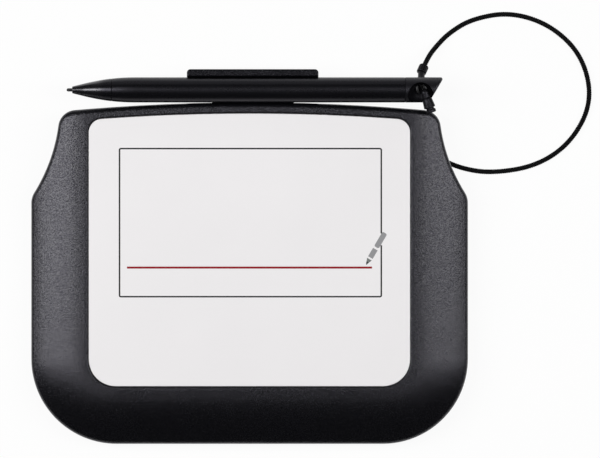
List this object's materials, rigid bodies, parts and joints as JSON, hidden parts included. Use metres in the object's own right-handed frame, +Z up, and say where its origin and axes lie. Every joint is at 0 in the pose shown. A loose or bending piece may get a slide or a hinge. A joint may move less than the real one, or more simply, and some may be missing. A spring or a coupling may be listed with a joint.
{
  "type": "signature pad",
  "caption": "Low counter-top signature pad with a dished bezel, a flush writing plate and a pen that lies in a rear tray on a cord.",
  "frame": {"origin": "on the desk, under the middle of the pad with its pen tray, cord left out", "axes": "+X to the right along the pen, +Y away from the person who signs, +Z up"},
  "size_m": [0.2058, 0.1587, 0.0205],
  "materials": {
    "housing": "finely grained black moulding",
    "plate": "satin white writing sheet",
    "tape": "double-sided tape",
    "board": "green circuit board",
    "chip": "black chip packages",
    "connector": "cream connector body",
    "cable_film": "amber film cable",
    "shield": "thin bright sheet",
    "foam": "soft black foam",
    "socket_shell": "bright plated shell",
    "screw_steel": "zinc-plated steel",
    "foot_rubber": "matt black rubber",
    "pen_plastic": "fine satin black moulding",
    "nib_plastic": "hard dark plastic",
    "ferrite": "dark sintered core",
    "copper": "enamelled copper wire",
    "cord": "fine twisted black cord",
    "cord_end": "moulded black cord end"
  },
  "bodies": {
    "pad": {"top_housing": "housing", "bottom_housing": "housing", "writing_plate": "plate", "plate_tape": "tape", "sensor_board": "board", "shield_sheet": "shield", "foam_pad": "foam", "controller_board": "board", "controller_chips": "chip", "cable_connector": "connector", "flat_cable": "cable_film", "cable_socket": "socket_shell", "board_screws": "screw_steel", "case_screws": "screw_steel", "foot_front_right": "foot_rubber", "foot_front_left": "foot_rubber", "foot_rear_right": "foot_rubber", "foot_rear_left": "foot_rubber", "pen_tray": "housing", "tray_screws": "screw_steel", "tether_anchor": "cord_end", "tether_cord": "cord"},
    "pen": {"pen_tip_cone": "pen_plastic", "pen_barrel": "pen_plastic", "pen_tail": "pen_plastic", "pen_coil_core": "ferrite", "pen_coil_winding": "copper", "pen_pressure_module": "chip", "pen_board": "board", "tether_ferrule": "cord_end", "tether_sleeve": "cord_end", "tether_knot": "cord_end"},
    "nib": {"pen_nib": "nib_plastic"}
  },
  "joints": [
    {"name": "pen_lift", "type": "slide", "parent": "pad", "child": "pen", "axis": [0, 0, 1], "range_m": [0, 0.06]},
    {"name": "nib_press", "type": "slide", "parent": "pen", "child": "nib", "axis": [1, 0, 0], "range_m": [0, 0.0005], "stiffness_N_per_m": 400}
  ]
}
